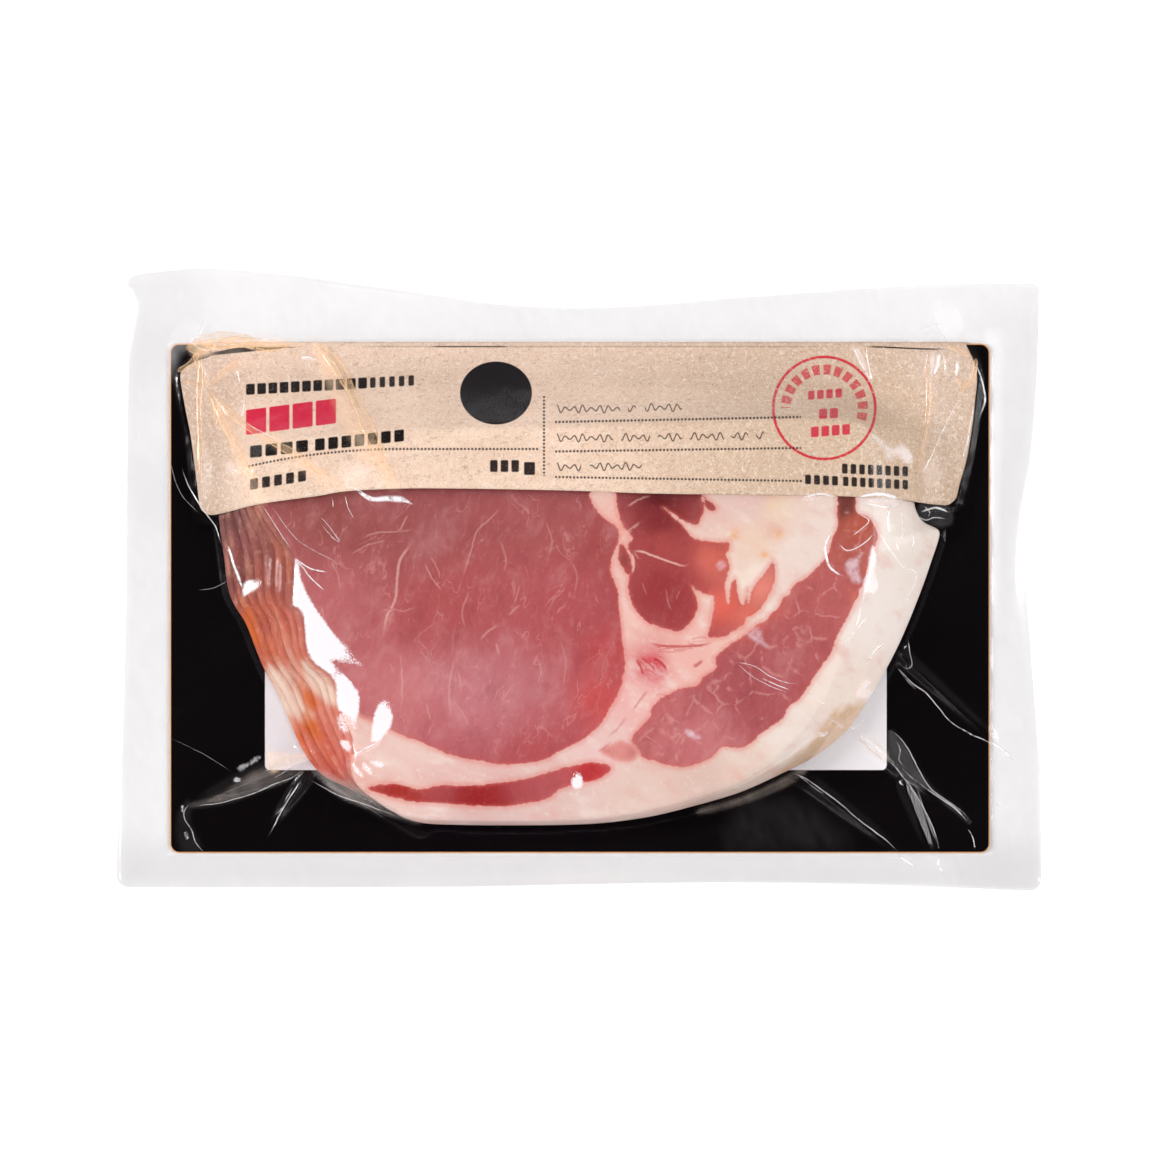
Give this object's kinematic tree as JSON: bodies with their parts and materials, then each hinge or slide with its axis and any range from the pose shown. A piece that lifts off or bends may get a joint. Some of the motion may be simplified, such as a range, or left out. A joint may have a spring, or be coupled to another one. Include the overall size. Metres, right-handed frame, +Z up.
{
  "type": "bacon pack",
  "caption": "Flat vacuum pouch of shingled back bacon slices on a stiff rectangular board, with a paper flap folded over the upper edge and a sealed film margin.",
  "frame": {"origin": "under the middle of the pack's bounding box, on the surface that the pack lies on", "axes": "+X along the long side, to the right as the pack is read; +Y towards the edge that the paper flap is folded over; +Z up, out of the side that shows the meat"},
  "size_m": [0.2308, 0.1552, 0.0173],
  "materials": {
    "film": "clear vacuum film; the colour is that of the cured meat seen through it",
    "board": "coated black front with a white panel, brown kraft back",
    "flap": null,
    "meat": "moist cured pork, lean and fat"
  },
  "bodies": {
    "root": {"sealed_pouch": "film"}
  },
  "joints": []
}
